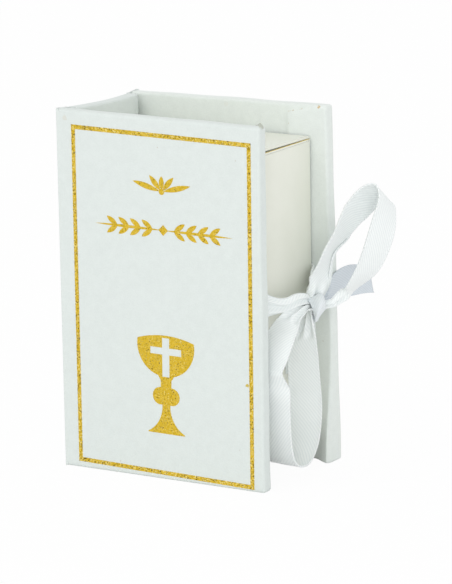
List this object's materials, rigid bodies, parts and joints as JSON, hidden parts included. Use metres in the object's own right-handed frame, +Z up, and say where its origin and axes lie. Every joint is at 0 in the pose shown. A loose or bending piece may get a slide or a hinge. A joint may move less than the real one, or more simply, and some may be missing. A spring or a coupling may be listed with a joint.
{
  "type": "book box",
  "caption": "Small book-shaped keepsake box: paper-covered board case around a folded card carton, tied at the fore-edge with a satin ribbon bow.",
  "frame": {"origin": "centre of the case's footprint on the table", "axes": "+X from the spine to the fore-edge, +Y from the front cover to the back cover, +Z up"},
  "size_m": [0.0586, 0.039, 0.07],
  "materials": {
    "board": "matt grey pressed board",
    "cover_paper": "matt, felted, with fine specks",
    "lining_paper": "matt, felted",
    "gold_foil": "stamped glitter foil",
    "carton_card": "smooth pearlescent card",
    "glue": "dried glue",
    "satin_ribbon": "double-faced satin with beaded edges"
  },
  "bodies": {
    "carton_and_back": {"back_board": "board", "back_wrap": "cover_paper", "back_lining": "lining_paper", "carton_back_panel": "carton_card", "carton_front_panel": "carton_card", "carton_spine_side_panel": "carton_card", "carton_fore_edge_panel": "carton_card", "carton_glue_flap": "carton_card", "carton_bottom_panel": "carton_card", "carton_bottom_tuck": "carton_card", "carton_bottom_dust_flap_spine": "carton_card", "carton_bottom_dust_flap_fore": "carton_card", "glue_dabs": "glue", "ribbon_band": "satin_ribbon", "ribbon_front_tie": "satin_ribbon", "ribbon_back_tie": "satin_ribbon", "ribbon_knot": "satin_ribbon", "ribbon_lower_loop": "satin_ribbon", "ribbon_lower_tail": "satin_ribbon", "ribbon_upper_loop": "satin_ribbon", "ribbon_upper_tail": "satin_ribbon"},
    "spine": {"spine_board": "board", "spine_wrap": "cover_paper", "spine_lining": "lining_paper", "front_hinge_strip": "cover_paper", "back_hinge_strip": "cover_paper"},
    "front_cover": {"front_board": "board", "front_wrap": "cover_paper", "front_lining": "lining_paper", "foil_border": "gold_foil", "foil_chalice": "gold_foil", "foil_ornament": "gold_foil"},
    "lid": {"carton_lid": "carton_card"},
    "lid_tuck": {"carton_lid_tuck": "carton_card"},
    "dust_flap_spine": {"carton_dust_flap_spine": "carton_card"},
    "dust_flap_fore": {"carton_dust_flap_fore": "carton_card"}
  },
  "joints": [
    {"name": "spine_fold", "type": "hinge", "parent": "carton_and_back", "child": "spine", "pos_m": [-0.0225, 0.0145, 0.035], "axis": [0, 0, -1], "range_deg": [0, 90]},
    {"name": "front_cover_fold", "type": "hinge", "parent": "spine", "child": "front_cover", "pos_m": [-0.0225, -0.0145, 0.035], "axis": [0, 0, -1], "range_deg": [0, 180]},
    {"name": "lid_fold", "type": "hinge", "parent": "carton_and_back", "child": "lid", "pos_m": [0, 0.0113, 0.064], "axis": [-1, 0, 0], "range_deg": [0, 92]},
    {"name": "lid_tuck_fold", "type": "hinge", "parent": "lid", "child": "lid_tuck", "pos_m": [0, -0.0108, 0.0643], "axis": [-1, 0, 0], "range_deg": [0, 46.5]},
    {"name": "dust_flap_spine_fold", "type": "hinge", "parent": "carton_and_back", "child": "dust_flap_spine", "pos_m": [-0.0193, 0, 0.0635], "axis": [0, -1, 0], "range_deg": [0, 55.5]},
    {"name": "dust_flap_fore_fold", "type": "hinge", "parent": "carton_and_back", "child": "dust_flap_fore", "pos_m": [0.0185, 0, 0.0635], "axis": [0, 1, 0], "range_deg": [0, 55.5]}
  ],
  "couplings": [
    {"joint": "lid_tuck_fold", "follows": "lid_fold", "ratio": 0.5},
    {"joint": "dust_flap_spine_fold", "follows": "lid_fold", "ratio": 0.6},
    {"joint": "dust_flap_fore_fold", "follows": "lid_fold", "ratio": 0.6}
  ]
}
